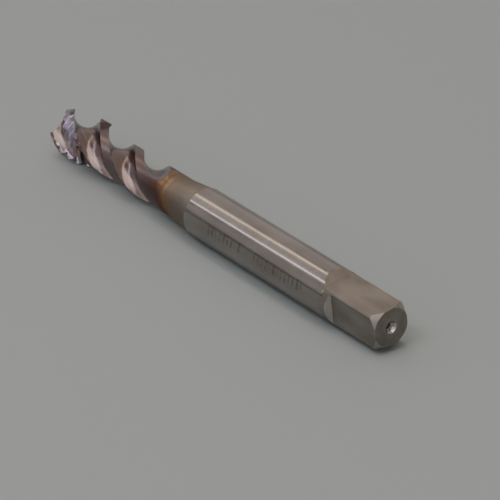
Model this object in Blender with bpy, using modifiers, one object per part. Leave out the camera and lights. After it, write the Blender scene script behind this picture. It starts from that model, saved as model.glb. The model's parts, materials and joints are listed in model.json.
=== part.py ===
"""Spiral-flute machine tap, M10 x 1.5, right-hand, lying on its side.

The tool is one welded bar: a high-speed-steel cutting head, the friction-weld seam,
and a tougher steel shank that ends in a square drive.
World frame: +X runs along the axis from the cutting tip to the drive end, +Z is up,
and the origin is below the middle of the tool, on the surface it lies on.
"""
import math

import bmesh
import bpy
from mathutils import Vector

MM = 0.001

# ---------------------------------------------------------------- whole tool
OVERALL_LENGTH = 100.0 * MM
GAP = 0.3 * MM

# ---------------------------------------------------------------- drive end and shank
SHANK_DIAMETER = 9.68 * MM
SHANK_EDGE_CHAMFER = 0.12 * MM
DRIVE_END_LENGTH = 14.1 * MM
DRIVE_END_RELIEF = 0.04 * MM
DRIVE_END_CHAMFER = 1.10 * MM

SQUARE_ACROSS_FLATS = 7.26 * MM
SQUARE_TURN = math.radians(7.4)
UPPER_PAIR_LENGTH = 14.3 * MM
UPPER_PAIR_SLOPE = math.radians(36.0)
SIDE_PAIR_LENGTH = 12.2 * MM
SIDE_PAIR_SLOPE = math.radians(52.0)

CENTRE_MOUTH_DIAMETER = 2.4 * MM
CENTRE_PILOT_DIAMETER = 1.2 * MM
CENTRE_PILOT_DEPTH = 2.4 * MM
CENTRE_CONE_ANGLE = math.radians(60.0)

# ---------------------------------------------------------------- neck and weld
NECK_DIAMETER = 8.14 * MM
TAPER_LENGTH = 6.4 * MM
WELD_TO_TIP = 36.4 * MM
WELD_TO_TAPER = 2.0 * MM
WELD_WIDTH = 0.8 * MM

# ---------------------------------------------------------------- thread
THREAD_DIAMETER = 10.10 * MM
THREAD_PITCH = 1.5 * MM
THREAD_LENGTH = 11.1 * MM
THREAD_ANGLE = math.radians(60.0)
THREAD_REAR_CHAMFER = 0.5 * MM
LEAD_CHAMFER_LENGTH = 3.4 * MM
LEAD_CHAMFER_DEPTH = 1.2 * MM
# Flats of an eighth of the pitch on crest and root leave this much of the sharp V.
THREAD_DEPTH = 0.75 * THREAD_PITCH / (2 * math.tan(THREAD_ANGLE / 2))
THREAD_CREST_WIDTH = THREAD_PITCH / 8
THREAD_ROOT_DIAMETER = THREAD_DIAMETER - 2 * THREAD_DEPTH

# ---------------------------------------------------------------- flutes
FLUTE_COUNT = 3
FLUTE_LEAD = 34.5 * MM
FULL_FLUTE_LENGTH = 28.8 * MM
FLUTE_WHEEL_RADIUS = 30.0 * MM
FLUTE_CORE_DIAMETER = 3.5 * MM
FLUTE_ROUND_RADIUS = 2.65 * MM
FLUTE_PHASE = math.radians(26.5)
FLUTE_CENTRE_RADIUS = FLUTE_CORE_DIAMETER / 2 + FLUTE_ROUND_RADIUS

# ---------------------------------------------------------------- mesh resolution
ROUND_STEPS = 36
THREAD_STEPS = 36
FLUTE_POINTS_PER_TURN = 24
FLUTE_SIDES_RESOLUTION = 4
THREAD_EMBED = 0.1 * MM
OVERSHOOT = 2.0 * MM
MERGE_DISTANCE = 0.005 * MM

TOOL_NAME = "spiral_flute_tap"


# ---------------------------------------------------------------- scene and materials
def clear_scene():
    for obj in list(bpy.data.objects):
        bpy.data.objects.remove(obj, do_unlink=True)


def new_collection(name):
    collection = bpy.data.collections.new(name)
    bpy.context.scene.collection.children.link(collection)
    return collection


def steel(name, colour, roughness):
    """One Principled metal per piece."""
    material = bpy.data.materials.new(name)
    material.use_nodes = True
    shader = material.node_tree.nodes["Principled BSDF"]
    shader.inputs["Base Color"].default_value = (*colour, 1.0)
    shader.inputs["Metallic"].default_value = 1.0
    shader.inputs["Roughness"].default_value = roughness
    return material


def add_object(name, data, collection, parent):
    obj = bpy.data.objects.new(name, data)
    collection.objects.link(obj)
    obj.parent = parent
    return obj


def hide_cutter(obj):
    obj.hide_render = True
    obj.display_type = "WIRE"


def laid_axis(collection):
    """Empty on the tool's axis: its +Z points along world +X, and the widest part lies at world zero."""
    axis = bpy.data.objects.new("tool_axis", None)
    collection.objects.link(axis)
    axis.location = (0.0, 0.0, max(THREAD_DIAMETER, SHANK_DIAMETER) / 2)
    axis.rotation_euler = (0.0, math.pi / 2, 0.0)
    return axis


def from_drive_end(distance):
    """Height on the tool's axis of a point that far from the drive end's face."""
    return OVERALL_LENGTH / 2 - distance


def from_tip(distance):
    """Height on the tool's axis of a point that far from the cutting tip."""
    return distance - OVERALL_LENGTH / 2


# ---------------------------------------------------------------- shapes
def turned(name, outline, collection, parent, steps=ROUND_STEPS):
    """Turn an outline of (radius, height) points, listed from top to bottom, about +Z."""
    mesh = bpy.data.meshes.new(name)
    points = [(radius, 0.0, z) for radius, z in outline]
    mesh.from_pydata(points, [(i, i + 1) for i in range(len(points) - 1)], [])
    obj = add_object(name, mesh, collection, parent)
    screw = obj.modifiers.new("turn", "SCREW")
    screw.axis = "Z"
    screw.steps = steps
    screw.render_steps = steps
    screw.use_merge_vertices = True
    screw.merge_threshold = MERGE_DISTANCE
    screw.use_smooth_shade = True
    return obj


def boolean(target, cutter, operation="DIFFERENCE", solver="EXACT"):
    modifier = target.modifiers.new(cutter.name, "BOOLEAN")
    modifier.operation = operation
    modifier.solver = solver
    modifier.object = cutter


def closed_copy(source, name, collection, parent):
    """Evaluated mesh of an object, its caps welded and its open ends filled."""
    bpy.context.view_layer.update()
    depsgraph = bpy.context.evaluated_depsgraph_get()
    mesh = bpy.data.meshes.new_from_object(source.evaluated_get(depsgraph))
    bm = bmesh.new()
    bm.from_mesh(mesh)
    bmesh.ops.remove_doubles(bm, verts=bm.verts, dist=MERGE_DISTANCE)
    open_edges = [edge for edge in bm.edges if edge.is_boundary]
    if open_edges:
        bmesh.ops.holes_fill(bm, edges=open_edges, sides=0)
    bmesh.ops.recalc_face_normals(bm, faces=bm.faces)
    bm.to_mesh(mesh)
    bm.free()
    obj = add_object(name, mesh, collection, parent)
    bpy.data.objects.remove(source, do_unlink=True)
    return obj


# ---------------------------------------------------------------- drive shank
def flat_cutter(index, collection, parent):
    """Block that mills one flat of the square, with the sloping run-out at its inner end."""
    upper_pair = index % 2 == 0
    length = UPPER_PAIR_LENGTH if upper_pair else SIDE_PAIR_LENGTH
    slope = UPPER_PAIR_SLOPE if upper_pair else SIDE_PAIR_SLOPE
    depth = SHANK_DIAMETER
    width = 2 * SHANK_DIAMETER

    bm = bmesh.new()
    bmesh.ops.create_cube(bm, size=1.0)
    for vert in bm.verts:
        outer = vert.co.x > 0
        drive_side = vert.co.z > 0
        vert.co.x = SQUARE_ACROSS_FLATS / 2 + (depth if outer else 0.0)
        vert.co.y *= width
        vert.co.z = from_drive_end(-OVERSHOOT if drive_side else length)
        if outer and not drive_side:
            vert.co.z -= depth / math.tan(slope)
    mesh = bpy.data.meshes.new(f"flat_cutter_{index}")
    bm.to_mesh(mesh)
    bm.free()
    obj = add_object(mesh.name, mesh, collection, parent)
    # Half a turn puts flat 0 on top of the laid tool; then the whole square is turned.
    obj.rotation_euler = (0.0, 0.0, math.pi + SQUARE_TURN + index * math.pi / 2)
    hide_cutter(obj)
    return obj


def centre_hole_cutter(collection, parent):
    """60 degree centre with a pilot hole, as left by turning between centres."""
    mouth = CENTRE_MOUTH_DIAMETER / 2
    pilot = CENTRE_PILOT_DIAMETER / 2
    flare = math.tan(CENTRE_CONE_ANGLE / 2)
    outline = [
        (0.0, from_drive_end(-OVERSHOOT)),
        (mouth + OVERSHOOT * flare, from_drive_end(-OVERSHOOT)),
        (pilot, from_drive_end((mouth - pilot) / flare)),
        (pilot, from_drive_end(CENTRE_PILOT_DEPTH)),
        (0.0, from_drive_end(CENTRE_PILOT_DEPTH + pilot * flare)),
    ]
    obj = turned("centre_hole_cutter", outline, collection, parent, ROUND_STEPS // 2)
    hide_cutter(obj)
    return obj


def drive_shank(parts, cutters, axis):
    """Neck, taper and ground shank turned in one outline, then squared and centred."""
    shank = SHANK_DIAMETER / 2
    drive = shank - DRIVE_END_RELIEF
    neck = NECK_DIAMETER / 2
    edge = SHANK_EDGE_CHAMFER
    front = from_tip(WELD_TO_TIP + WELD_WIDTH / 2 + GAP)
    taper_front = from_tip(WELD_TO_TIP + WELD_TO_TAPER)
    taper_rear = taper_front + TAPER_LENGTH
    outline = [
        (0.0, from_drive_end(0.0)),
        (drive - DRIVE_END_CHAMFER, from_drive_end(0.0)),
        (drive, from_drive_end(DRIVE_END_CHAMFER)),
        (drive, from_drive_end(DRIVE_END_LENGTH)),
        (shank, from_drive_end(DRIVE_END_LENGTH + edge)),
        (shank, taper_rear + edge),
        (shank - edge, taper_rear),
        (neck, taper_front),
        (neck, front),
        (0.0, front),
    ]
    obj = turned("drive_shank", outline, parts, axis)
    for index in range(4):
        boolean(obj, flat_cutter(index, cutters, axis))
    boolean(obj, centre_hole_cutter(cutters, axis))
    obj.data.materials.append(steel("ground_shank_steel", (0.30, 0.27, 0.25), 0.34))


# ---------------------------------------------------------------- weld seam
def weld_seam(parts, axis):
    """The slice of the bar that the friction weld joined."""
    neck = NECK_DIAMETER / 2
    top = from_tip(WELD_TO_TIP + WELD_WIDTH / 2)
    bottom = top - WELD_WIDTH
    obj = turned("weld_seam", [(0.0, top), (neck, top), (neck, bottom), (0.0, bottom)], parts, axis)
    obj.data.materials.append(steel("heat_tinted_weld", (0.26, 0.15, 0.08), 0.4))


# ---------------------------------------------------------------- cutting head
def head_blank(parts, axis):
    """Plain neck, then the core of the thread with the root of the lead chamfer."""
    neck = NECK_DIAMETER / 2
    root = THREAD_ROOT_DIAMETER / 2
    tip = THREAD_DIAMETER / 2 - LEAD_CHAMFER_DEPTH
    root_chamfer = (root - tip) * LEAD_CHAMFER_LENGTH / LEAD_CHAMFER_DEPTH
    rear = from_tip(WELD_TO_TIP - WELD_WIDTH / 2 - GAP)
    outline = [
        (0.0, rear),
        (neck, rear),
        (neck, from_tip(THREAD_LENGTH)),
        (root, from_tip(THREAD_LENGTH)),
        (root, from_tip(root_chamfer)),
        (tip, from_tip(0.0)),
        (0.0, from_tip(0.0)),
    ]
    return turned("cutting_head", outline, parts, axis)


def thread_limit(cutters, axis):
    """Space that the thread may fill: full diameter, with a chamfer at both ends."""
    crest = THREAD_DIAMETER / 2
    rear = from_tip(THREAD_LENGTH)
    outline = [
        (0.0, rear),
        (crest - THREAD_REAR_CHAMFER, rear),
        (crest, rear - THREAD_REAR_CHAMFER),
        (crest, from_tip(LEAD_CHAMFER_LENGTH)),
        (crest - LEAD_CHAMFER_DEPTH, from_tip(0.0)),
        (0.0, from_tip(0.0)),
    ]
    obj = turned("thread_limit", outline, cutters, axis)
    hide_cutter(obj)
    return obj


def thread_ridge(cutters, axis):
    """Helical ridge: a closed 60 degree outline swept by a Screw modifier, rooted in the core."""
    crest = THREAD_DIAMETER / 2 + THREAD_EMBED
    inner = THREAD_ROOT_DIAMETER / 2 - THREAD_EMBED
    flank = math.tan(THREAD_ANGLE / 2)
    half_crest = THREAD_CREST_WIDTH / 2 - THREAD_EMBED * flank / 2
    half_base = THREAD_CREST_WIDTH / 2 + (THREAD_DEPTH + THREAD_EMBED) * flank
    turns = math.ceil(THREAD_LENGTH / THREAD_PITCH) + 2
    start = from_tip(-THREAD_PITCH)
    outline = [
        (inner, start + half_base),
        (crest, start + half_crest),
        (crest, start - half_crest),
        (inner, start - half_base),
    ]
    count = len(outline)
    mesh = bpy.data.meshes.new("thread_outline")
    edges = [(i, (i + 1) % count) for i in range(count)]
    mesh.from_pydata([(radius, 0.0, z) for radius, z in outline], edges, [])
    sweep = add_object("thread_sweep", mesh, cutters, None)
    screw = sweep.modifiers.new("thread", "SCREW")
    screw.axis = "Z"
    screw.steps = THREAD_STEPS
    screw.render_steps = THREAD_STEPS
    screw.iterations = turns
    screw.screw_offset = THREAD_PITCH
    screw.use_merge_vertices = False
    ridge = closed_copy(sweep, "thread_ridge", cutters, axis)
    boolean(ridge, thread_limit(cutters, axis), "INTERSECT", "MANIFOLD")
    hide_cutter(ridge)
    return ridge


def flute_path(phase):
    """Centre line of one flute: a right-hand helix, then the straight way out of the grinding wheel."""
    front = from_tip(-OVERSHOOT - FLUTE_ROUND_RADIUS)
    rear = from_tip(FULL_FLUTE_LENGTH)
    count = math.ceil((rear - front) / FLUTE_LEAD * FLUTE_POINTS_PER_TURN)
    points = []
    for i in range(count + 1):
        z = front + (rear - front) * i / count
        angle = phase + 2 * math.pi * z / FLUTE_LEAD
        outward = Vector((math.cos(angle), math.sin(angle), 0.0))
        points.append(outward * FLUTE_CENTRE_RADIUS + Vector((0.0, 0.0, z)))

    stop = points[-1]
    step = (stop - points[-2]).length
    around = Vector((-outward.y, outward.x, 0.0)) * 2 * math.pi * FLUTE_CENTRE_RADIUS
    along = (around + Vector((0.0, 0.0, FLUTE_LEAD))).normalized()
    clear_radius = NECK_DIAMETER / 2 + FLUTE_ROUND_RADIUS + GAP
    way = 0.0
    while points[-1].xy.length < clear_radius:
        way += step
        points.append(stop + along * way + outward * way ** 2 / (2 * FLUTE_WHEEL_RADIUS))
    return points


def flute_cutter(cutters, axis):
    """All flutes as one cutter: a round tube along each helix."""
    curve = bpy.data.curves.new("flute_paths", "CURVE")
    curve.dimensions = "3D"
    curve.bevel_depth = FLUTE_ROUND_RADIUS
    curve.bevel_resolution = FLUTE_SIDES_RESOLUTION
    curve.use_fill_caps = True
    for index in range(FLUTE_COUNT):
        points = flute_path(FLUTE_PHASE + index * 2 * math.pi / FLUTE_COUNT)
        spline = curve.splines.new("POLY")
        spline.points.add(len(points) - 1)
        for point, place in zip(spline.points, points):
            point.co = (*place, 1.0)
    tubes = add_object(curve.name, curve, cutters, None)
    cutter = closed_copy(tubes, "flute_cutter", cutters, axis)
    hide_cutter(cutter)
    return cutter


def cutting_head(parts, cutters, axis):
    obj = head_blank(parts, axis)
    # The exact solver leaves open seams where thread and flutes cross; the manifold one closes them.
    boolean(obj, thread_ridge(cutters, axis), "UNION", "MANIFOLD")
    boolean(obj, flute_cutter(cutters, axis), "DIFFERENCE", "MANIFOLD")
    obj.data.materials.append(steel("coated_high_speed_steel", (0.27, 0.24, 0.26), 0.36))


# ---------------------------------------------------------------- build
def main():
    clear_scene()
    parts = new_collection(TOOL_NAME)
    cutters = new_collection("cutters")
    axis = laid_axis(parts)
    drive_shank(parts, cutters, axis)
    weld_seam(parts, axis)
    cutting_head(parts, cutters, axis)


main()
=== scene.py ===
# %% [markdown]
# # A spiral-flute tap lying on the bench
#
# A machine tap cuts the thread inside a drilled hole. This one is taken to be a welded bar,
# because heat colours and a fine ring cross its neck: a hard cutting head, a thin weld seam,
# and a tougher shank that ends in a square for the wrench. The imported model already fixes
# every size and place, so this lesson makes only the finer surfaces for those three solids.

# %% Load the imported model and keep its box
import json
import math

import bmesh
import bpy
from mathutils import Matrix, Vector

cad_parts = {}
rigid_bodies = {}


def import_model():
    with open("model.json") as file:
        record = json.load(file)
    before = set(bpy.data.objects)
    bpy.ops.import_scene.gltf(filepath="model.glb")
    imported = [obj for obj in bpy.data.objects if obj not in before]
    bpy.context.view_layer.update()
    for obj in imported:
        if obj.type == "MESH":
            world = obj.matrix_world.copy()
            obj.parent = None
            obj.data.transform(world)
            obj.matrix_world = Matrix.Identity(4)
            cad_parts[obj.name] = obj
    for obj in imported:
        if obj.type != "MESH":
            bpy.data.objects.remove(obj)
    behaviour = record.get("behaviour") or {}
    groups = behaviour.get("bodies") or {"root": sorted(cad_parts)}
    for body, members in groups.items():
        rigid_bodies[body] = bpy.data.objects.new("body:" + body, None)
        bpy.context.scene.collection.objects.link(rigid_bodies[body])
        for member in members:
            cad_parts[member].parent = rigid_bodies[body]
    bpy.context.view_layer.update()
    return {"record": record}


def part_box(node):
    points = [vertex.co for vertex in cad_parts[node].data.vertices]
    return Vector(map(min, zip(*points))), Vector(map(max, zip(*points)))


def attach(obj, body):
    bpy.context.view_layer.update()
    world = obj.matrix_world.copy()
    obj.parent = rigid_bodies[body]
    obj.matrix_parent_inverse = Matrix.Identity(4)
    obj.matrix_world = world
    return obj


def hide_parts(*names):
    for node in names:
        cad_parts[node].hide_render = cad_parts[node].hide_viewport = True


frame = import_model()
MM = 0.001

# %% [markdown]
# ## Sizes that come from the model
#
# Radii and end faces are read from the boxes of the three solids. The tool rests on its
# threads, so the height of its axis is also the thread's radius. The four flats of the
# square are mounts in the record: one of them tells how far a flat is from the axis and
# how far the square is turned about it.

# %% Read radii, stations and the square's turn
head_low, head_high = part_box("cutting_head")
seam_low, seam_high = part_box("weld_seam")
shank_low, shank_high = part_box("drive_shank")

AXIS_HEIGHT = (seam_low.z + seam_high.z) / 2
NECK_RADIUS = (seam_high.z - seam_low.z) / 2
SHANK_RADIUS = (shank_high.y - shank_low.y) / 2
THREAD_RADIUS = AXIS_HEIGHT
TIP_X = head_low.x
HEAD_REAR_X = head_high.x
SHANK_FRONT_X = shank_low.x
DRIVE_END_X = shank_high.x

mounts = {mount["name"]: mount for mount in frame["record"]["mounts"]}
flat = mounts["drive_flat_top"]
flat_normal = Vector(flat["axis"])
flat_place = Vector(flat["pos_m"]) - Vector((flat["pos_m"][0], 0.0, AXIS_HEIGHT))
HALF_SQUARE = flat_place.dot(flat_normal)
SQUARE_TURN = math.atan2(-flat_normal.y, flat_normal.z)
print(f"axis {AXIS_HEIGHT / MM:.2f} mm up, neck {NECK_RADIUS / MM:.2f}, shank {SHANK_RADIUS / MM:.2f}")
print(f"square {2 * HALF_SQUARE / MM:.2f} mm across flats, turned {math.degrees(SQUARE_TURN):.1f} degrees")

# %% [markdown]
# ## Camera
#
# A long lens from far away flattens the perspective, which is how a small tool is usually
# pictured. The camera stands behind and to the right of the drive end and looks down at 28
# degrees. It comes first because every later judgement is made through it.

# %% Place the camera
CAMERA_AZIMUTH = math.radians(52.83)
CAMERA_ELEVATION = math.radians(28.01)
CAMERA_DISTANCE = 693.1 * MM
CAMERA_TARGET = Vector((11.95, -2.28, 5.05)) * MM
SENSOR_WIDTH = 36.0
FOCAL_LENGTH = 273.7
NEAREST_SEEN = 0.01

toward_camera = Vector((
    math.sin(CAMERA_AZIMUTH) * math.cos(CAMERA_ELEVATION),
    -math.cos(CAMERA_AZIMUTH) * math.cos(CAMERA_ELEVATION),
    math.sin(CAMERA_ELEVATION),
))
bpy.ops.object.camera_add(location=CAMERA_TARGET + CAMERA_DISTANCE * toward_camera)
camera = bpy.context.object
camera.name = "camera"
camera.rotation_euler = (-toward_camera).to_track_quat("-Z", "Y").to_euler()
camera.data.sensor_width = SENSOR_WIDTH
camera.data.lens = FOCAL_LENGTH
camera.data.clip_start = NEAREST_SEEN
bpy.context.scene.camera = camera
print("camera at", [round(c, 3) for c in camera.location])

# %% [markdown]
# ## Helpers for modelling
#
# All three pieces are round bars first, so they could be cylinders with many cuts. A lathe
# is closer to how they are made: draw half of the outline and spin it about the axis. The
# pieces are modelled with that axis on world X and are laid on the bench at the end.

# %% Select, draw an outline, and turn it
TURN_STEPS = 128
MERGE_DISTANCE = 0.001 * MM


def deselect():
    """Leave nothing selected, so that the next operator touches only what it is given."""
    if bpy.context.object and bpy.context.object.mode != "OBJECT":
        bpy.ops.object.mode_set(mode="OBJECT")
    bpy.ops.object.select_all(action="DESELECT")


def pick(piece):
    """Make one piece selected and active."""
    deselect()
    piece.select_set(True)
    bpy.context.view_layer.objects.active = piece
    return piece


def draw_outline(name, outline, closed=False):
    """Extrude one point through an outline of (x, radius) pairs."""
    deselect()
    bpy.ops.mesh.primitive_plane_add(size=MM)
    piece = bpy.context.object
    piece.name = name
    bpy.ops.object.mode_set(mode="EDIT")
    bpy.ops.mesh.merge(type="CENTER")
    places = [Vector((0.0, 0.0, 0.0))] + [Vector((x, 0.0, radius)) for x, radius in outline]
    bpy.ops.transform.translate(value=places[1] - places[0])
    for start, end in zip(places[1:], places[2:]):
        bpy.ops.mesh.extrude_region_move(TRANSFORM_OT_translate={"value": end - start})
    if closed:
        bpy.ops.mesh.select_all(action="SELECT")
        bpy.ops.mesh.edge_face_add()
        bpy.ops.mesh.delete(type="ONLY_FACE")
    bpy.ops.object.mode_set(mode="OBJECT")
    return piece


def close_up(piece):
    """Merge doubled points and turn every face outwards."""
    pick(piece)
    bpy.ops.object.mode_set(mode="EDIT")
    bpy.ops.mesh.select_all(action="SELECT")
    bpy.ops.mesh.remove_doubles(threshold=MERGE_DISTANCE)
    bpy.ops.mesh.normals_make_consistent(inside=False)
    bpy.ops.object.mode_set(mode="OBJECT")


def turn_bar(name, outline, steps=TURN_STEPS):
    """Spin an outline once round the X axis, as on a lathe."""
    piece = draw_outline(name, outline)
    bpy.ops.object.mode_set(mode="EDIT")
    bpy.ops.mesh.select_all(action="SELECT")
    bpy.ops.mesh.spin(steps=steps, angle=math.tau, center=(0, 0, 0), axis=(1, 0, 0))
    bpy.ops.object.mode_set(mode="OBJECT")
    close_up(piece)
    return piece


print("a bar is spun in", TURN_STEPS, "steps")

# %% [markdown]
# Real corners are never perfectly sharp. A tool grinder breaks them by a few hundredths of
# a millimetre, and that thin band is what catches the light. Bevelling the finished solid
# would meet trouble where many edges cross, so the outline itself gets its corners rounded.

# %% Round the corners of an outline
EDGE_BREAK = 0.05 * MM


def soften(outline, radius=EDGE_BREAK, steps=3):
    """Swap each inner corner for a short curve that is tangent to both sides."""
    result = [outline[0]]
    for before, corner, after in zip(outline, outline[1:], outline[2:]):
        middle = Vector(corner)
        start = middle + (Vector(before) - middle).normalized() * radius
        end = middle + (Vector(after) - middle).normalized() * radius
        for i in range(steps + 1):
            share = i / steps
            place = start.lerp(middle, share).lerp(middle.lerp(end, share), share)
            result.append(tuple(place))
    result.append(outline[-1])
    return result


print("edges are broken by", EDGE_BREAK / MM, "mm")

# %% Join, cut and finish pieces
SMOOTH_ANGLE = math.radians(28)


def combine(target, tool, operation, solver="EXACT"):
    """Apply one Boolean and throw the tool away."""
    pick(target)
    modifier = target.modifiers.new("combine", "BOOLEAN")
    modifier.operation = operation
    modifier.solver = solver
    modifier.object = tool
    bpy.ops.object.modifier_apply(modifier=modifier.name)
    bpy.data.objects.remove(tool, do_unlink=True)


def lay_down(piece):
    """Lift the axis to its height above the bench, and leave the object itself at the origin."""
    pick(piece)
    piece.location = (0.0, 0.0, AXIS_HEIGHT)
    bpy.ops.object.transform_apply(location=True, rotation=True, scale=True)
    bpy.ops.object.shade_smooth_by_angle(angle=SMOOTH_ANGLE)
    open_edges = count_open_edges(piece)
    print(f"{piece.name}: {len(piece.data.polygons)} faces, {open_edges} open edges")


def count_open_edges(piece):
    """Number of edges that don't join exactly two faces."""
    bm = bmesh.new()
    bm.from_mesh(piece.data)
    count = sum(1 for edge in bm.edges if not edge.is_manifold)
    bm.free()
    return count


print("faces that meet under", round(math.degrees(SMOOTH_ANGLE)), "degrees are shaded as one")

# %% [markdown]
# ## The shank
#
# The shank is turned and ground: a thin neck, a taper, the long gripping cylinder, and a
# drive end a hair smaller than it. That last step shows as one bright ring.

# %% Turn the shank
WELD_TO_TAPER = 2.0 * MM
WELD_TO_SHANK = 0.7 * MM
TAPER_START = SHANK_FRONT_X + WELD_TO_TAPER - WELD_TO_SHANK
TAPER_LENGTH = 6.4 * MM
RING_TO_END = 14.1 * MM
DRIVE_RELIEF = 0.04 * MM
RING_WIDTH = 0.14 * MM
RING_RISE = 0.06 * MM
END_CHAMFER = 1.1 * MM

taper_end = TAPER_START + TAPER_LENGTH
ring_x = DRIVE_END_X - RING_TO_END
drive_radius = SHANK_RADIUS - DRIVE_RELIEF
shank_outline = [
    (SHANK_FRONT_X, 0.0),
    (SHANK_FRONT_X, NECK_RADIUS),
    (TAPER_START, NECK_RADIUS),
    (taper_end, SHANK_RADIUS - RING_WIDTH),
    (taper_end + RING_WIDTH, SHANK_RADIUS),
    (ring_x - RING_WIDTH, SHANK_RADIUS),
    (ring_x, SHANK_RADIUS - RING_WIDTH),
    (ring_x + RING_RISE, drive_radius),
    (DRIVE_END_X - END_CHAMFER, drive_radius),
    (DRIVE_END_X, drive_radius - END_CHAMFER),
    (DRIVE_END_X, 0.0),
]
shank = turn_bar("drive_shank_ground", soften(shank_outline, EDGE_BREAK / 2))
print("shank from", round(SHANK_FRONT_X / MM, 2), "to", round(DRIVE_END_X / MM, 2), "mm")

# %% [markdown]
# ## The square
#
# Two passes of a milling cutter make each pair of flats. The upper pair is a little longer
# and runs out at a lower slope than the side pair, which suggests another setting. Each pass
# is a block whose inner end leans back, taken away from the bar.

# %% Mill the four flats
UPPER_PAIR = {"length": 14.3 * MM, "slope": math.radians(36)}
SIDE_PAIR = {"length": 12.2 * MM, "slope": math.radians(52)}
BLOCK_DEPTH = 2 * SHANK_RADIUS
BLOCK_WIDTH = 4 * SHANK_RADIUS
OVERSHOOT = 2 * MM


def flat_block(turn, length, slope):
    """A cutter block above the flat, with its inner end leaning away from the drive end."""
    deselect()
    block_length = length + OVERSHOOT
    place = (DRIVE_END_X - length + block_length / 2, 0.0, HALF_SQUARE + BLOCK_DEPTH / 2)
    size = (block_length, BLOCK_WIDTH, BLOCK_DEPTH)
    bpy.ops.mesh.primitive_cube_add(size=1, location=place, scale=size)
    bpy.ops.object.transform_apply(location=True, scale=True)
    block = bpy.context.object
    bpy.ops.object.mode_set(mode="EDIT")
    bpy.ops.mesh.select_all(action="DESELECT")
    bm = bmesh.from_edit_mesh(block.data)
    for vert in bm.verts:
        vert.select = vert.co.x < place[0] and vert.co.z > place[2]
    bm.select_flush(True)
    bmesh.update_edit_mesh(block.data)
    bpy.ops.transform.translate(value=(-BLOCK_DEPTH / math.tan(slope), 0.0, 0.0))
    bpy.ops.object.mode_set(mode="OBJECT")
    block.rotation_euler.x = turn
    bpy.ops.object.transform_apply(rotation=True)
    return block


for quarter in range(4):
    pair = SIDE_PAIR if quarter % 2 else UPPER_PAIR
    combine(shank, flat_block(SQUARE_TURN + quarter * math.pi / 2, **pair), "DIFFERENCE")
print("milled", quarter + 1, "flats,", len(shank.data.polygons), "faces")

# %% [markdown]
# ## The centre hole
#
# Such a bar is held between lathe centres, so its end carries a hole, which usually has a 60
# degree cone and a small pilot. The pilot and the depth are guesses.

# %% Drill the centre hole
CENTRE_MOUTH = 2.4 * MM / 2
CENTRE_PILOT = 1.2 * MM / 2
PILOT_DEPTH = 2.4 * MM
CONE_FLARE = math.tan(math.radians(60 / 2))

outside = DRIVE_END_X + OVERSHOOT
cone_end = DRIVE_END_X - (CENTRE_MOUTH - CENTRE_PILOT) / CONE_FLARE
pilot_end = DRIVE_END_X - PILOT_DEPTH
centre_outline = [
    (outside, 0.0),
    (outside, CENTRE_MOUTH + OVERSHOOT * CONE_FLARE),
    (cone_end, CENTRE_PILOT),
    (pilot_end, CENTRE_PILOT),
    (pilot_end - CENTRE_PILOT * CONE_FLARE, 0.0),
]
combine(shank, turn_bar("centre_drill", centre_outline, TURN_STEPS // 2), "DIFFERENCE")
print("centre hole", 2 * CENTRE_MOUTH / MM, "mm wide at its mouth")

# %% Sort the shank's faces by how they were made
NECK_FINISH, GROUND_FINISH, MILLED_FINISH, CENTRE_FINISH, PAINTED_HIGHLIGHT_FINISH = range(5)
RUN_OUT_REACH = 3 * MM


def shank_finish(centre):
    """Which tool left this face, and which faces get the painted highlight: its place along and across the
    bar tells.
    """
    radius = centre.yz.length
    in_hole = radius < CENTRE_MOUTH and centre.x > pilot_end - CENTRE_PILOT
    if in_hole and centre.x < DRIVE_END_X - MERGE_DISTANCE:
        return CENTRE_FINISH
    # The steep ends of the side flats and the end chamfer take the painted highlight.
    on_side = abs(centre.y) > abs(centre.z) and radius < drive_radius - RING_WIDTH
    if on_side and ring_x - RUN_OUT_REACH < centre.x < DRIVE_END_X - SIDE_PAIR["length"]:
        return PAINTED_HIGHLIGHT_FINISH
    on_chamfer = DRIVE_END_X - END_CHAMFER < centre.x < DRIVE_END_X - MERGE_DISTANCE
    if on_chamfer and radius > HALF_SQUARE + RING_WIDTH:
        return PAINTED_HIGHLIGHT_FINISH
    if centre.x > ring_x:
        return MILLED_FINISH
    if radius < drive_radius - RING_WIDTH and centre.x > ring_x - RUN_OUT_REACH:
        return MILLED_FINISH
    return NECK_FINISH if centre.x < taper_end else GROUND_FINISH


print("finishes of the shank are sorted by place")

# %% [markdown]
# ## The weld seam
#
# Friction welding pushes a collar of metal out, which is then ground away. What may be left
# is a narrow ring with a faint line on either side. It also closes the small gaps that the
# model keeps between its solids.

# %% Turn the seam
SEAM_LINE_DEPTH = 0.03 * MM
SEAM_LINE_WIDTH = 0.10 * MM

seam_outline = [
    (HEAD_REAR_X, 0.0),
    (HEAD_REAR_X, NECK_RADIUS - SEAM_LINE_DEPTH),
    (HEAD_REAR_X + SEAM_LINE_WIDTH, NECK_RADIUS),
    (SHANK_FRONT_X - SEAM_LINE_WIDTH, NECK_RADIUS),
    (SHANK_FRONT_X, NECK_RADIUS - SEAM_LINE_DEPTH),
    (SHANK_FRONT_X, 0.0),
]
seam = turn_bar("weld_seam_ring", seam_outline)
print("seam is", round((SHANK_FRONT_X - HEAD_REAR_X) / MM, 2), "mm wide")

# %% [markdown]
# ## The cutting head
#
# The head starts as a bar too: the neck, then the root of the thread, which tapers at the
# tip where the first teeth are only partly cut.

# %% Turn the head's blank
PITCH = 1.5 * MM
THREAD_LENGTH = 11.1 * MM
THREAD_DEPTH = 0.75 * PITCH / (2 * math.tan(math.radians(30)))
LEAD_LENGTH = 3.4 * MM
LEAD_DEPTH = 1.2 * MM
REAR_CHAMFER = 0.5 * MM

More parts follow.
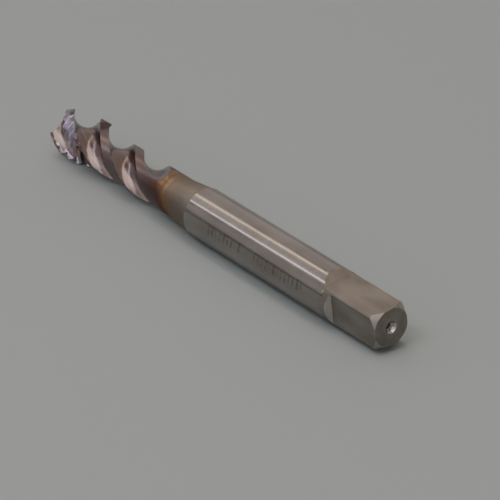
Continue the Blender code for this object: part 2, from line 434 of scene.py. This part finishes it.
root_radius = THREAD_RADIUS - THREAD_DEPTH
tip_radius = THREAD_RADIUS - LEAD_DEPTH
root_lead = (root_radius - tip_radius) * LEAD_LENGTH / LEAD_DEPTH
thread_rear = TIP_X + THREAD_LENGTH
blank_outline = [
    (TIP_X, 0.0),
    (TIP_X, tip_radius),
    (TIP_X + root_lead, root_radius),
    (thread_rear, root_radius),
    (thread_rear, NECK_RADIUS),
    (HEAD_REAR_X, NECK_RADIUS),
    (HEAD_REAR_X, 0.0),
]
head = turn_bar("cutting_head_ground", blank_outline)
print("thread root", round(2 * root_radius / MM, 2), "mm across")

# %% [markdown]
# ## The thread
#
# A thread is one ridge that climbs a pitch with each turn. The Screw modifier does just
# that with a small outline of a 60 degree tooth. The ridge starts before the tip and ends
# past the last tooth, and a turned limit then trims it to the lead chamfer.

# %% Wind the ridge and trim it
THREAD_STEPS = 96
EMBED = 0.1 * MM
FLANK = math.tan(math.radians(30))

half_crest = PITCH / 16
half_root = half_crest + THREAD_DEPTH * FLANK
ridge_start = TIP_X - PITCH
ridge_outline = [
    (ridge_start - half_root - EMBED * FLANK, root_radius - EMBED),
    (ridge_start - half_crest + EMBED * FLANK / 2, THREAD_RADIUS + EMBED),
    (ridge_start + half_crest - EMBED * FLANK / 2, THREAD_RADIUS + EMBED),
    (ridge_start + half_root + EMBED * FLANK, root_radius - EMBED),
]
ridge = draw_outline("thread_ridge", ridge_outline, closed=True)
screw = ridge.modifiers.new("wind", "SCREW")
screw.axis = "X"
screw.screw_offset = PITCH
screw.iterations = math.ceil(THREAD_LENGTH / PITCH) + 2
screw.steps = THREAD_STEPS
screw.render_steps = THREAD_STEPS
screw.use_merge_vertices = False
bpy.ops.object.modifier_apply(modifier=screw.name)
bpy.ops.object.mode_set(mode="EDIT")
bpy.ops.mesh.select_all(action="SELECT")
bpy.ops.mesh.fill_holes(sides=4)
bpy.ops.object.mode_set(mode="OBJECT")
close_up(ridge)

limit_outline = [
    (TIP_X, 0.0),
    (TIP_X, tip_radius),
    (TIP_X + LEAD_LENGTH, THREAD_RADIUS),
    (thread_rear - REAR_CHAMFER, THREAD_RADIUS),
    (thread_rear, THREAD_RADIUS - REAR_CHAMFER),
    (thread_rear, 0.0),
]
combine(ridge, turn_bar("thread_limit", limit_outline), "INTERSECT", "MANIFOLD")
combine(head, ridge, "UNION", "MANIFOLD")
print("head with thread:", len(head.data.polygons), "faces")

# %% [markdown]
# ## The flutes
#
# Three round-bottomed grooves wind right-handed round the core. A twisted block could cut
# them, but a tube on a helix gives the same round bottom and lets the end be right: there
# the grinding wheel stopped turning with the bar and left straight ahead, in an arc of its
# own radius. The Boolean uses the manifold solver, because thread and flutes cross in
# hundreds of thin slivers that the exact one leaves open.

# %% Lay a tube along each flute and take it out
FLUTES = 3
FLUTE_LEAD = 34.5 * MM
FULL_FLUTE_LENGTH = 28.8 * MM
WHEEL_RADIUS = 30.0 * MM
CORE_RADIUS = 1.75 * MM
FLUTE_RADIUS = 2.65 * MM
FLUTE_PHASE = math.radians(26.5)
FLUTE_POINTS_PER_TURN = 120
FLUTE_SIDES = 10
CLEARANCE = 0.3 * MM


def flute_path():
    """Centre line of the first flute, with its straight and lifting end."""
    centre_radius = CORE_RADIUS + FLUTE_RADIUS
    front = TIP_X - OVERSHOOT - FLUTE_RADIUS
    rear = TIP_X + FULL_FLUTE_LENGTH
    count = math.ceil((rear - front) / FLUTE_LEAD * FLUTE_POINTS_PER_TURN)
    points = []
    for i in range(count + 1):
        x = front + (rear - front) * i / count
        angle = FLUTE_PHASE + math.tau * x / FLUTE_LEAD
        outward = Vector((0.0, math.sin(angle), -math.cos(angle)))
        points.append(outward * centre_radius + Vector((x, 0.0, 0.0)))
    stop = points[-1]
    step = (stop - points[-2]).length
    around = Vector((0.0, math.cos(angle), math.sin(angle))) * math.tau * centre_radius
    along = (around + Vector((FLUTE_LEAD, 0.0, 0.0))).normalized()
    clear_radius = NECK_RADIUS + FLUTE_RADIUS + CLEARANCE
    way = 0.0
    while points[-1].yz.length < clear_radius:
        way += step
        points.append(stop + along * way + outward * way ** 2 / (2 * WHEEL_RADIUS))
    return points


path = flute_path()
deselect()
bpy.ops.curve.primitive_nurbs_path_add()
flute = bpy.context.object
spline = flute.data.splines[0]
spline.type = "POLY"
spline.points.add(len(path) - len(spline.points))
for point, place in zip(spline.points, path):
    point.co = (*place, 1.0)
    point.radius = 1.0
flute.data.bevel_depth = FLUTE_RADIUS
flute.data.bevel_resolution = FLUTE_SIDES
flute.data.use_fill_caps = True
bpy.ops.object.convert(target="MESH")
flute = bpy.context.object
for turn in range(1, FLUTES):
    pick(flute)
    bpy.ops.object.duplicate()
    copy = bpy.context.object
    copy.rotation_euler.x = turn * math.tau / FLUTES
    bpy.ops.object.transform_apply(rotation=True)
deselect()
tubes = [obj for obj in bpy.data.objects if obj.name.startswith(flute.name)]
for tube in tubes:
    tube.select_set(True)
bpy.context.view_layer.objects.active = flute
bpy.ops.object.join()
close_up(flute)
combine(head, flute, "DIFFERENCE", "MANIFOLD")
print("fluted head:", len(head.data.polygons), "faces")

# %% Sort the head's faces: lands, threads and flutes
LAND_FINISH, THREAD_FINISH, FLUTE_FINISH = range(3)
LAND_TOLERANCE = 0.02 * MM


def head_finish(centre):
    """Lands lie on the neck's cylinder; ahead of it teeth stand proud; the rest was ground out."""
    radius = centre.yz.length
    if centre.x > thread_rear:
        return LAND_FINISH if radius > NECK_RADIUS - LAND_TOLERANCE else FLUTE_FINISH
    lead_ratio = min(1.0, (centre.x - TIP_X) / root_lead)
    local_root = tip_radius + (root_radius - tip_radius) * lead_ratio
    return THREAD_FINISH if radius > local_root - LAND_TOLERANCE else FLUTE_FINISH


print("finishes of the head are sorted by place")

# %% [markdown]
# ## Helpers for materials
#
# Each finish is one shader with a few patterns. Colours are written as the sRGB hex values
# that a colour picker shows, and one function turns them into the linear values that the
# shader needs. One more function adds a node with its settings and links.

# %% Colours and nodes
def linear(hex_colour):
    """An sRGB hex colour as linear RGBA."""
    channels = [int(hex_colour[i:i + 2], 16) / 255 for i in (1, 3, 5)]
    values = [c / 12.92 if c <= 0.04045 else ((c + 0.055) / 1.055) ** 2.4 for c in channels]
    return (*values, 1.0)


def add_node(tree, kind, inputs=None, **settings):
    """Add a node; an input that is a socket is linked, any other is set."""
    node = tree.nodes.new(kind)
    for name, value in settings.items():
        setattr(node, name, value)
    for name, value in (inputs or {}).items():
        if isinstance(value, bpy.types.NodeSocket):
            tree.links.new(value, node.inputs[name])
        else:
            node.inputs[name].default_value = value
    return node


def new_steel(name, roughness, anisotropic=0.0):
    """An empty steel: metal all through, with the grinding direction along the tool."""
    material = bpy.data.materials.new(name)
    material.use_nodes = True
    tree = material.node_tree
    shader = tree.nodes["Principled BSDF"]
    shader.inputs["Metallic"].default_value = 1.0
    shader.inputs["Roughness"].default_value = roughness
    shader.inputs["Anisotropic"].default_value = anisotropic
    if anisotropic:
        along = add_node(tree, "ShaderNodeCombineXYZ", {"X": 1.0})
        tree.links.new(along.outputs["Vector"], shader.inputs["Tangent"])
    return material, tree, shader


def axis_coordinates(tree, scale=(1.0, 1.0, 1.0)):
    """Object coordinates measured from the tool's axis, stretched by a scale."""
    source = add_node(tree, "ShaderNodeTexCoord")
    centred = add_node(tree, "ShaderNodeVectorMath", {
        0: source.outputs["Object"], 1: (0.0, 0.0, -AXIS_HEIGHT)}, operation="ADD")
    scaled = add_node(tree, "ShaderNodeVectorMath", {
        0: centred.outputs["Vector"], 1: scale}, operation="MULTIPLY")
    return scaled.outputs["Vector"]


def per_mm(size):
    """Texture scale that repeats once in this many millimetres."""
    return 1.0 / (size * MM)


print("mid grey is", [round(c, 3) for c in linear("#808080")])

# %% [markdown]
# ## What grinding and handling leave on steel
#
# Two patterns come back in several finishes. A cylindrical grinder leaves very shallow rings
# round the bar: here they are a noise that changes mostly along the tool. Handling and old
# oil leave an uneven film: slow patches, stretched along the tool.

# %% Rings and film
RING_REACH = 12.0
FILM_STRETCH = 2.5


def add_rings(tree, shader, spacing, strength):
    """Fine rings round the axis, as a bump; returns how high each ring stands."""
    place = axis_coordinates(tree, (per_mm(spacing), per_mm(RING_REACH), per_mm(RING_REACH)))
    rings = add_node(tree, "ShaderNodeTexNoise", {"Vector": place, "Scale": 1.0, "Detail": 3.0})
    bump = add_node(tree, "ShaderNodeBump", {
        "Height": rings.outputs["Fac"], "Strength": strength, "Distance": 0.01 * MM})
    tree.links.new(bump.outputs["Normal"], shader.inputs["Normal"])
    return rings.outputs["Fac"]


def add_film(tree, size, clean, dull):
    """Patches of this size in millimetres, between two colours."""
    place = axis_coordinates(tree, (per_mm(size * FILM_STRETCH), per_mm(size), per_mm(size)))
    patches = add_node(tree, "ShaderNodeTexNoise", {"Vector": place, "Scale": 1.0, "Detail": 5.0})
    spread = add_node(tree, "ShaderNodeMapRange", {
        "Value": patches.outputs["Fac"], "From Min": 0.35, "From Max": 0.65})
    film = add_node(tree, "ShaderNodeMix", {
        "Factor": spread.outputs["Result"], "A": linear(clean), "B": linear(dull),
    }, data_type="RGBA")
    return film.outputs["Result"]


print("rings and film are ready")

# %% [markdown]
# ## Worn etching
#
# A size is usually etched or laser-marked on such a shank, and use wears it down to grey
# traces. Plain bars of uneven width stand for it here. They say nothing, and they are only a
# darker and patchy colour, with no depth.

# %% Make a mask of plain bars
# One bar for each 1.15 mm of length, on the side of the shank that faces the viewer.
BAR_SPACING = 1.15
BARS_FROM = 2.0 * MM
BARS_TO = 31.0 * MM
BAR_TOP = math.radians(156)
BAR_FOOT = math.radians(190)
# Worn patches are about as wide as a bar.
WEAR_PATCH = 0.7


def etched_bars(tree):
    """How strongly the bars darken the steel: 1 on a bar, 0 beside it."""
    parts = add_node(tree, "ShaderNodeSeparateXYZ", {"Vector": axis_coordinates(tree)})
    angle = add_node(tree, "ShaderNodeMath", {
        0: parts.outputs["Z"], 1: parts.outputs["Y"]}, operation="ARCTAN2")
    across = add_node(tree, "ShaderNodeMapRange", {
        "Value": angle.outputs["Value"], "From Min": BAR_TOP, "From Max": BAR_FOOT}, clamp=False)
    steps = add_node(tree, "ShaderNodeMath", {
        0: parts.outputs["X"], 1: per_mm(BAR_SPACING)}, operation="MULTIPLY")
    cell = add_node(tree, "ShaderNodeMath", {0: steps.outputs["Value"]}, operation="FLOOR")
    within = add_node(tree, "ShaderNodeMath", {0: steps.outputs["Value"]}, operation="FRACT")
    chance = add_node(tree, "ShaderNodeTexWhiteNoise", {
        "W": cell.outputs["Value"]}, noise_dimensions="1D")
    draws = add_node(tree, "ShaderNodeSeparateColor", {"Color": chance.outputs["Color"]})
    width = add_node(tree, "ShaderNodeMath", {
        0: draws.outputs["Red"], 1: 0.45, 2: 0.12}, operation="MULTIPLY_ADD")
    height = add_node(tree, "ShaderNodeMath", {
        0: draws.outputs["Green"], 1: 0.5, 2: 0.5}, operation="MULTIPLY_ADD")
    tests = [
        (within.outputs["Value"], "LESS_THAN", width.outputs["Value"]),
        (across.outputs["Result"], "LESS_THAN", height.outputs["Value"]),
        (across.outputs["Result"], "GREATER_THAN", 0.0),
        (parts.outputs["X"], "GREATER_THAN", BARS_FROM),
        (parts.outputs["X"], "LESS_THAN", BARS_TO),
        (draws.outputs["Blue"], "GREATER_THAN", 0.2),
    ]
    wear_place = axis_coordinates(tree, (per_mm(WEAR_PATCH), per_mm(WEAR_PATCH), per_mm(WEAR_PATCH)))
    wear = add_node(tree, "ShaderNodeTexNoise", {
        "Vector": wear_place, "Scale": 1.0, "Detail": 3.0})
    mask = add_node(tree, "ShaderNodeMapRange", {
        "Value": wear.outputs["Fac"], "From Min": 0.36, "From Max": 0.56}).outputs["Result"]
    for value, operation, limit in tests:
        test = add_node(tree, "ShaderNodeMath", {0: value, 1: limit}, operation=operation)
        mask = add_node(tree, "ShaderNodeMath", {
            0: mask, 1: test.outputs["Value"]}, operation="MULTIPLY").outputs["Value"]
    return mask


print("bars every", BAR_SPACING, "mm")

# %% [markdown]
# ## Ground shank
#
# The shank is bare hardened steel, finished on a cylindrical grinder. The grinding rings
# spread a reflection along the bar, so a lamp becomes one long thin line: that is what
# anisotropy gives. Steel keeps a light warm grey, dulled in places by the film.

# %% Make the ground shank steel
# Real rings are finer; 0.3 mm is coarse enough to show.
RING_SPACING = 0.3
FILM_SIZE = 6.0


def ground_shank_steel():
    material, tree, shader = new_steel("ground_shank_steel", 0.2, 0.7)
    rings = add_rings(tree, shader, RING_SPACING, 0.5)
    etched = add_node(tree, "ShaderNodeMix", {
        "Factor": etched_bars(tree),
        "A": add_film(tree, FILM_SIZE, "#9F9A96", "#8D8884"),
        "B": linear("#7A7470"),
    }, data_type="RGBA")
    tree.links.new(etched.outputs["Result"], shader.inputs["Base Color"])
    rough = add_node(tree, "ShaderNodeMapRange", {
        "Value": rings, "From Min": 0.3, "From Max": 0.7, "To Min": 0.17, "To Max": 0.24})
    tree.links.new(rough.outputs["Result"], shader.inputs["Roughness"])
    return material


ground_shank = ground_shank_steel()
print("made", ground_shank.name)

# %% [markdown]
# ## Milled square, and its edges with a painted highlight
#
# The flats look milled and not ground: a grain like a cutter's is still there, and the steel
# is duller than the shank. The chamfer and the steep ends of the side flats get the same
# milled steel in a lighter colour, a painted highlight for the light that they catch. The
# reason isn't known; a fresher cut, or rubbing in the wrench, would do it.

# %% Make the milled steels
# The grain is drawn a quarter of a millimetre along the tool, coarser than a cutter leaves.
GRAIN_LENGTH = 0.25
GRAIN_WIDTH = 0.9
MILLED_FILM_SIZE = 3.0


def milled_steel(name, clean, dull):
    material, tree, shader = new_steel(name, 0.4)
    film = add_film(tree, MILLED_FILM_SIZE, clean, dull)
    tree.links.new(film, shader.inputs["Base Color"])
    scale = (per_mm(GRAIN_LENGTH), per_mm(GRAIN_WIDTH), per_mm(GRAIN_WIDTH))
    grain = add_node(tree, "ShaderNodeTexNoise", {
        "Vector": axis_coordinates(tree, scale), "Scale": 1.0, "Detail": 4.0})
    bump = add_node(tree, "ShaderNodeBump", {
        "Height": grain.outputs["Fac"], "Strength": 0.3, "Distance": 0.02 * MM})
    tree.links.new(bump.outputs["Normal"], shader.inputs["Normal"])
    return material


milled_square = milled_steel("milled_square_steel", "#969089", "#847E77")
# A lighter copy of the milled steel for the chamfer and the steep ends: a painted highlight.
milled_painted_highlight = milled_steel("bright_milled_edge_steel", "#BDB7B4", "#AAA4A0")
print("made", milled_square.name, "and", milled_painted_highlight.name)

# %% [markdown]
# ## Burnished centre hole
#
# The cone of the hole was drilled, and a lathe centre probably rubbed it smooth. It is given
# no film, so it is the cleanest steel on the tool, with fine rings round it.

# %% Make the burnished steel of the centre hole
# A tenth of a millimetre is a guess at the spacing of a drill's feed marks.
FEED_MARKS = 0.1


def centre_hole_steel():
    material, tree, shader = new_steel("burnished_centre_steel", 0.24)
    add_rings(tree, shader, FEED_MARKS, 0.2)
    shader.inputs["Base Color"].default_value = linear("#BAB5B4")
    return material


burnished_centre = centre_hole_steel()
print("made", burnished_centre.name)

# %% [markdown]
# ## Heat-tinted neck, seam and lands
#
# This is bare steel that grew a thin oxide when it was heated, most likely by the welding.
# The oxide's thickness sets its colour, so the tint runs in bands: purple brown on the
# head's side, then bronze, then straw, and plain steel. A colour ramp along the tool gives
# the bands, and a slow noise keeps their edges from being rings. A lean with height moves
# the bands so that the darker purple brown reaches further back on the lower side: painted
# shade.

# %% Make the heat-tinted steels
# The bands are a few millimetres wide; the rings are drawn coarser than real ones.
TINT_RINGS = 0.35
TINT_FROM = HEAD_REAR_X - 7 * MM
TINT_TO = HEAD_REAR_X + 13 * MM
TINT_WANDER = 3.0 * MM
TINT_PATCH = 4.0
# Leaning the bands with height paints shade: the lower side takes the darker purple brown.
TINT_SHADE_LEAN = 0.8
TINT_STOPS = [
    (0.00, "#766A6A"), (0.30, "#645656"), (0.45, "#644A44"), (0.53, "#88694F"),
    (0.58, "#84705C"), (0.66, "#7E7264"), (0.85, "#7E766E"), (1.00, "#868079"),
]


def heat_tinted_steel(name, roughness):
    material, tree, shader = new_steel(name, roughness, 0.4)
    add_rings(tree, shader, TINT_RINGS, 0.25)
    parts = add_node(tree, "ShaderNodeSeparateXYZ", {"Vector": axis_coordinates(tree)})
    patch_place = axis_coordinates(tree, (per_mm(TINT_PATCH), per_mm(TINT_PATCH), per_mm(TINT_PATCH)))
    wander = add_node(tree, "ShaderNodeTexNoise", {
        "Vector": patch_place, "Scale": 1.0, "Detail": 2.0})
    shifted = add_node(tree, "ShaderNodeMath", {
        0: wander.outputs["Fac"], 1: TINT_WANDER, 2: parts.outputs["X"],
    }, operation="MULTIPLY_ADD")
    # Lower on the bar the bands move back, a painted shade on the lower side.
    shade_leaning = add_node(tree, "ShaderNodeMath", {
        0: parts.outputs["Z"], 1: TINT_SHADE_LEAN, 2: shifted.outputs["Value"],
    }, operation="MULTIPLY_ADD")
    band = add_node(tree, "ShaderNodeMapRange", {
        "Value": shade_leaning.outputs["Value"], "From Min": TINT_FROM, "From Max": TINT_TO})
    ramp = add_node(tree, "ShaderNodeValToRGB", {"Fac": band.outputs["Result"]})
    elements = ramp.color_ramp.elements
    while len(elements) < len(TINT_STOPS):
        elements.new(0.5)
    for element, (position, colour) in zip(elements, TINT_STOPS):
        element.position = position
        element.color = linear(colour)
    tree.links.new(ramp.outputs["Color"], shader.inputs["Base Color"])
    return material


tinted_neck = heat_tinted_steel("heat_tinted_neck_steel", 0.5)
tinted_weld = heat_tinted_steel("heat_tinted_weld_steel", 0.45)
tinted_land = heat_tinted_steel("heat_tinted_land_steel", 0.36)
print("made", tinted_neck.name, tinted_weld.name, "and", tinted_land.name)

# %% [markdown]
# ## Coated threads
#
# The teeth look like high-speed steel with a thin hard coating, of the kind that is usually
# deposited from vapour in a vacuum. It gives a cool lilac sheen. The last teeth are browner,
# probably from wear, and tiny chips and pick-up make the surface sparkle.

# %% Make the coated thread steel
# Specks of 0.35 mm are drawn coarser than real pick-up, so that they show.
CHIP_SIZE = 0.35
COATING_PATCH = 0.9
WORN_FROM = TIP_X + 8.5 * MM
WORN_TO = TIP_X + 10 * MM


def coated_thread_steel():
    material, tree, shader = new_steel("coated_thread_steel", 0.26)
    parts = add_node(tree, "ShaderNodeSeparateXYZ", {"Vector": axis_coordinates(tree)})
    wear = add_node(tree, "ShaderNodeMapRange", {
        "Value": parts.outputs["X"], "From Min": WORN_FROM, "From Max": WORN_TO})
    worn = add_node(tree, "ShaderNodeMix", {
        "Factor": wear.outputs["Result"],
        "A": add_film(tree, COATING_PATCH, "#CDC6DA", "#A095A6"),
        "B": linear("#A08A88"),
    }, data_type="RGBA")
    tree.links.new(worn.outputs["Result"], shader.inputs["Base Color"])
    chip_place = axis_coordinates(tree, (per_mm(CHIP_SIZE), per_mm(CHIP_SIZE), per_mm(CHIP_SIZE)))
    chips = add_node(tree, "ShaderNodeTexNoise", {
        "Vector": chip_place, "Scale": 1.0, "Detail": 2.0})
    bump = add_node(tree, "ShaderNodeBump", {
        "Height": chips.outputs["Fac"], "Strength": 0.4, "Distance": 0.05 * MM})
    tree.links.new(bump.outputs["Normal"], shader.inputs["Normal"])
    return material


coated_thread = coated_thread_steel()
print("made", coated_thread.name)

# %% [markdown]
# ## Ground flutes
#
# Flutes like these are usually ground with a profiled wheel, so fine lines follow the helix,
# and chips polish them in use. To draw lines that wind with the flute, the coordinates are
# first turned back by the helix's own angle. In those coordinates each line runs straight.

# %% Make the ground flute steel
# Lines of 0.35 mm are drawn coarser than the wheel's own, so that they show.
LINE_WIDTH = 0.35
LINE_LENGTH = 14.0


def ground_flute_steel():
    material, tree, shader = new_steel("ground_flute_steel", 0.24)
    place = axis_coordinates(tree)
    parts = add_node(tree, "ShaderNodeSeparateXYZ", {"Vector": place})
    turn_back = add_node(tree, "ShaderNodeMath", {
        0: parts.outputs["X"], 1: -math.tau / FLUTE_LEAD}, operation="MULTIPLY")
    unwound = add_node(tree, "ShaderNodeVectorRotate", {
        "Vector": place, "Angle": turn_back.outputs["Value"]}, rotation_type="X_AXIS")
    stretched = add_node(tree, "ShaderNodeVectorMath", {
        0: unwound.outputs["Vector"],
        1: (per_mm(LINE_LENGTH), per_mm(LINE_WIDTH), per_mm(LINE_WIDTH)),
    }, operation="MULTIPLY")
    lines = add_node(tree, "ShaderNodeTexNoise", {
        "Vector": stretched.outputs["Vector"], "Scale": 1.0, "Detail": 3.0})
    colour = add_node(tree, "ShaderNodeMix", {
        "Factor": lines.outputs["Fac"], "A": linear("#8C7E7C"), "B": linear("#5C5252"),
    }, data_type="RGBA")
    tree.links.new(colour.outputs["Result"], shader.inputs["Base Color"])
    bump = add_node(tree, "ShaderNodeBump", {
        "Height": lines.outputs["Fac"], "Strength": 0.3, "Distance": 0.03 * MM})
    tree.links.new(bump.outputs["Normal"], shader.inputs["Normal"])
    return material


ground_flute = ground_flute_steel()
print("made", ground_flute.name)

# %% [markdown]
# ## Dress the pieces
#
# A face takes its finish from its place, while the piece still lies on the axis. The finish
# numbers are the order of the materials. Then each piece is laid down on the bench.

# %% Give each face its finish
def dress(piece, materials, finish_of=None):
    """Give a piece its materials, and each face the one that its place asks for."""
    piece.data.materials.clear()
    for material in materials:
        piece.data.materials.append(material)
    if finish_of:
        for face in piece.data.polygons:
            face.material_index = finish_of(face.center)
    lay_down(piece)


shank_materials = [tinted_neck, ground_shank, milled_square, burnished_centre, milled_painted_highlight]
dress(shank, shank_materials, shank_finish)
dress(seam, [tinted_weld])
dress(head, [tinted_land, coated_thread, ground_flute], head_finish)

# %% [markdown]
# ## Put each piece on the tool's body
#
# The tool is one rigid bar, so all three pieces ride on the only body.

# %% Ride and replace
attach(shank, "root")
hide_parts("drive_shank")
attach(seam, "root")
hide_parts("weld_seam")
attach(head, "root")
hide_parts("cutting_head")

# %% [markdown]
# ## Bench, lamps and room
#
# A plain pale floor under a soft ceiling of eight lamps. Two long narrow tubes, one warm and
# one cool, run along the tool and draw the two thin lines on its shank. Six wide panels stand
# for the rest of the room: two above the tool fill its flutes and neck, one to the front
# lights the chamfers that face the viewer, and those to the right, left and back keep the
# steel from mirroring an empty room. Lamps and steel colours were tuned together until the
# average colour of each region was right, so a steel's colour here is no measured one.

# %% Floor
FLOOR_SIZE = 3.0
deselect()
bpy.ops.mesh.primitive_plane_add(size=FLOOR_SIZE)
floor = bpy.context.object
floor.name = "floor"
floor_material = bpy.data.materials.new("matt_bench_paint")
floor_material.use_nodes = True
floor_shader = floor_material.node_tree.nodes["Principled BSDF"]
floor_shader.inputs["Base Color"].default_value = linear("#8F989A")
floor_shader.inputs["Roughness"].default_value = 0.7
floor.data.materials.append(floor_material)

# %% Lamps
CEILING = 1.0


def ceiling_lamp(name, x_range, y_range, radiance, colour):
    """A rectangular lamp flat on the ceiling, as wide as its two ranges."""
    size_x = x_range[1] - x_range[0]
    size_y = y_range[1] - y_range[0]
    deselect()
    middle = (sum(x_range) / 2, sum(y_range) / 2, CEILING)
    bpy.ops.object.light_add(type="AREA", location=middle)
    lamp = bpy.context.object
    lamp.name = name
    lamp.data.shape = "RECTANGLE"
    lamp.data.size = size_x
    lamp.data.size_y = size_y
    lamp.data.energy = radiance * math.pi * size_x * size_y
    lamp.data.color = linear(colour)[:3]
    return lamp


LAMPS = [
    ("warm_tube", (-1.7, 0.6), (0.00, 0.08), 4.5, "#FFE6CA"),
    ("cool_tube", (-1.7, 0.6), (-0.76, -0.67), 6.0, "#F6F4FF"),
    ("ceiling_panel", (-1.6, -0.85), (-1.05, 0.2), 0.8, "#FFF2EA"),
    ("middle_panel", (-0.3, 0.35), (-1.4, 0.1), 2.8, "#FFF2EA"),
    ("right_panel", (0.5, 3.3), (-1.4, 0.4), 0.55, "#FFF4EE"),
    ("front_panel", (-0.8, 3.0), (-5.0, -1.8), 1.1, "#FFFAFA"),
    ("back_panel", (-7.0, 0.5), (0.25, 8.0), 0.45, "#FFF0E6"),
    ("left_panel", (-7.0, -0.8), (-9.0, -1.1), 0.38, "#FFF8F2"),
]
for values in LAMPS:
    print(ceiling_lamp(*values).name)

# %% Room light
ROOM_STRENGTH = 0.22
world = bpy.data.worlds.new("soft_room")
world.use_nodes = True
world.node_tree.nodes["Background"].inputs["Color"].default_value = linear("#E8E4E0")
world.node_tree.nodes["Background"].inputs["Strength"].default_value = ROOM_STRENGTH
bpy.context.scene.world = world
print("room light", ROOM_STRENGTH)
